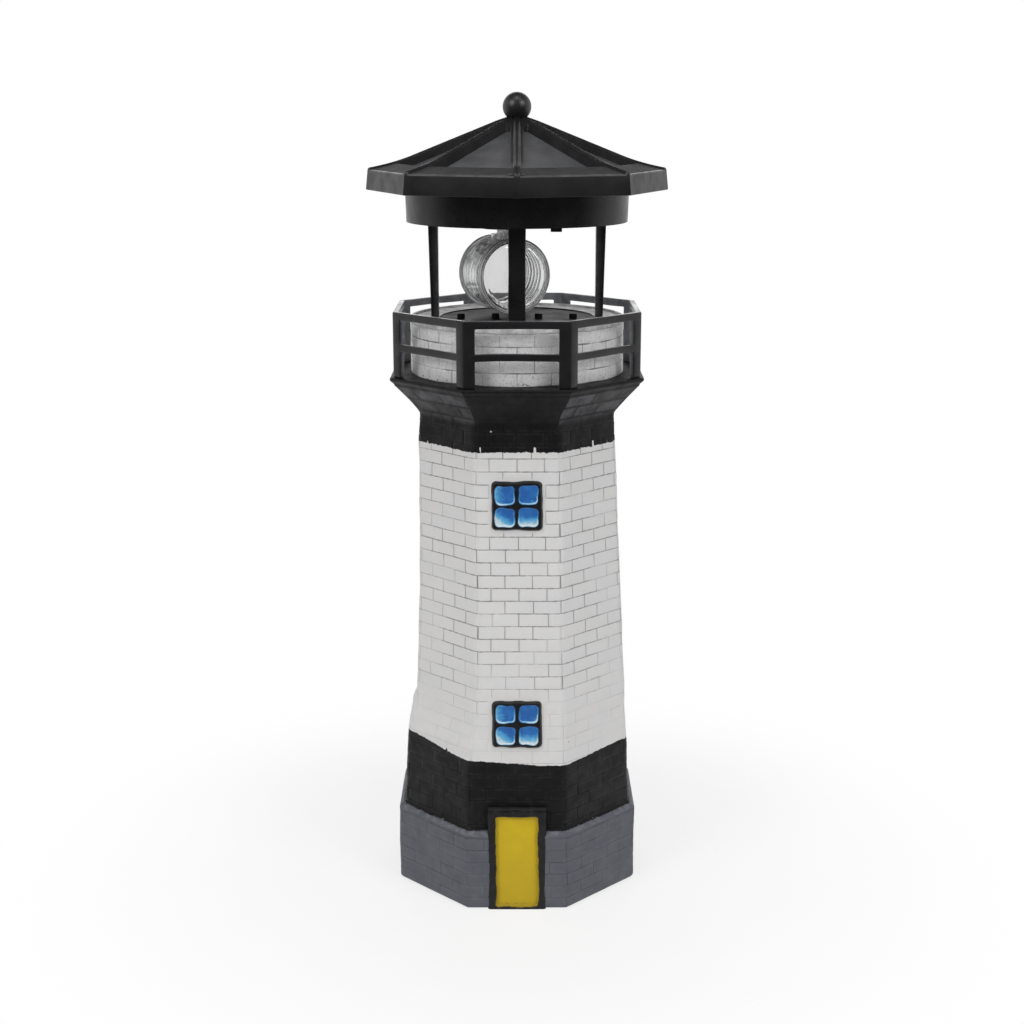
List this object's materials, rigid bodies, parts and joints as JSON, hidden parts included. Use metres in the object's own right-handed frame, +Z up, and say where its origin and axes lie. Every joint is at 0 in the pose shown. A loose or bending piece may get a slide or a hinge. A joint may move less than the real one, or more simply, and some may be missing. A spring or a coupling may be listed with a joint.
{
  "type": "garden lighthouse ornament",
  "caption": "Garden lighthouse ornament with an octagonal brick tower, railed gallery, open lantern with a turning clear beacon, and a solar roof.",
  "frame": {"origin": "centre of the base on the ground", "axes": "+Z up, -Y out of the door, +X to the right of someone facing the door"},
  "size_m": [0.0998, 0.0998, 0.27],
  "materials": {
    "painted_cast": "painted cast resin, matt",
    "black_plastic": "glossy moulded black plastic",
    "solar_film": "dark grey solar film",
    "clear_plastic": "clear polished plastic",
    "milky_plastic": "milky clear plastic",
    "gear_plastic": "natural gear plastic",
    "brass": "turned brass",
    "board": "green coated board",
    "cell_wrap": "shrink wrap",
    "lamp_resin": "clear cast resin",
    "lead_jacket": "soft wire jacket",
    "grey_plastic": "moulded grey plastic",
    "steel": "bright steel"
  },
  "bodies": {
    "tower": {"tower_casting": "painted_cast", "gallery_railing": "black_plastic"},
    "lantern": {"gallery_floor": "black_plastic", "post_front": "black_plastic", "post_back": "black_plastic", "post_left": "black_plastic", "post_right": "black_plastic", "housing_tray": "black_plastic", "spindle_bush": "brass", "gear_plate": "grey_plastic", "standoff_screws": "steel", "idler_pin": "steel", "drive_motor": "steel", "circuit_board": "board", "beacon_lamp": "lamp_resin", "lamp_leads": "steel", "battery_cell": "cell_wrap", "contact_spring": "steel", "contact_tab": "steel", "battery_cover": "black_plastic", "cover_screw": "steel", "switch_body": "grey_plastic", "motor_leads": "lead_jacket", "battery_leads": "lead_jacket", "roof_shell": "black_plastic", "roof_screws": "steel", "finial_ball": "black_plastic", "solar_cell_1": "solar_film", "solar_cell_2": "solar_film", "solar_cell_3": "solar_film", "solar_cell_4": "solar_film", "solar_cell_5": "solar_film", "solar_cell_6": "solar_film", "solar_cell_7": "solar_film", "solar_cell_8": "solar_film"},
    "beacon": {"beacon_spindle": "milky_plastic", "drive_gear": "gear_plastic", "beacon_barrel": "clear_plastic", "lens_front": "clear_plastic", "lens_back": "clear_plastic"},
    "idler": {"idler_gear": "gear_plastic"},
    "pinion": {"motor_pinion": "brass", "motor_shaft": "steel"},
    "switch": {"switch_knob": "black_plastic"}
  },
  "joints": [
    {"name": "head_lift", "type": "slide", "parent": "tower", "child": "lantern", "axis": [0, 0, 1], "range_m": [0, 0.02]},
    {"name": "beacon_spin", "type": "hinge", "parent": "lantern", "child": "beacon", "pos_m": [-0.0043, 0, 0.2111], "axis": [0, 0, 1], "continuous": true},
    {"name": "idler_spin", "type": "hinge", "parent": "lantern", "child": "idler", "pos_m": [0.00717, -0.00803, 0.236], "axis": [0, 0, 1], "continuous": true},
    {"name": "pinion_spin", "type": "hinge", "parent": "lantern", "child": "pinion", "pos_m": [0.0096, 0.00576, 0.238], "axis": [0, 0, 1], "continuous": true},
    {"name": "switch_slide", "type": "slide", "parent": "lantern", "child": "switch", "axis": [-1, 0, 0], "range_m": [0, 0.002]}
  ],
  "couplings": [
    {"joint": "idler_spin", "follows": "beacon_spin", "ratio": -3},
    {"joint": "pinion_spin", "follows": "beacon_spin", "ratio": 9}
  ]
}
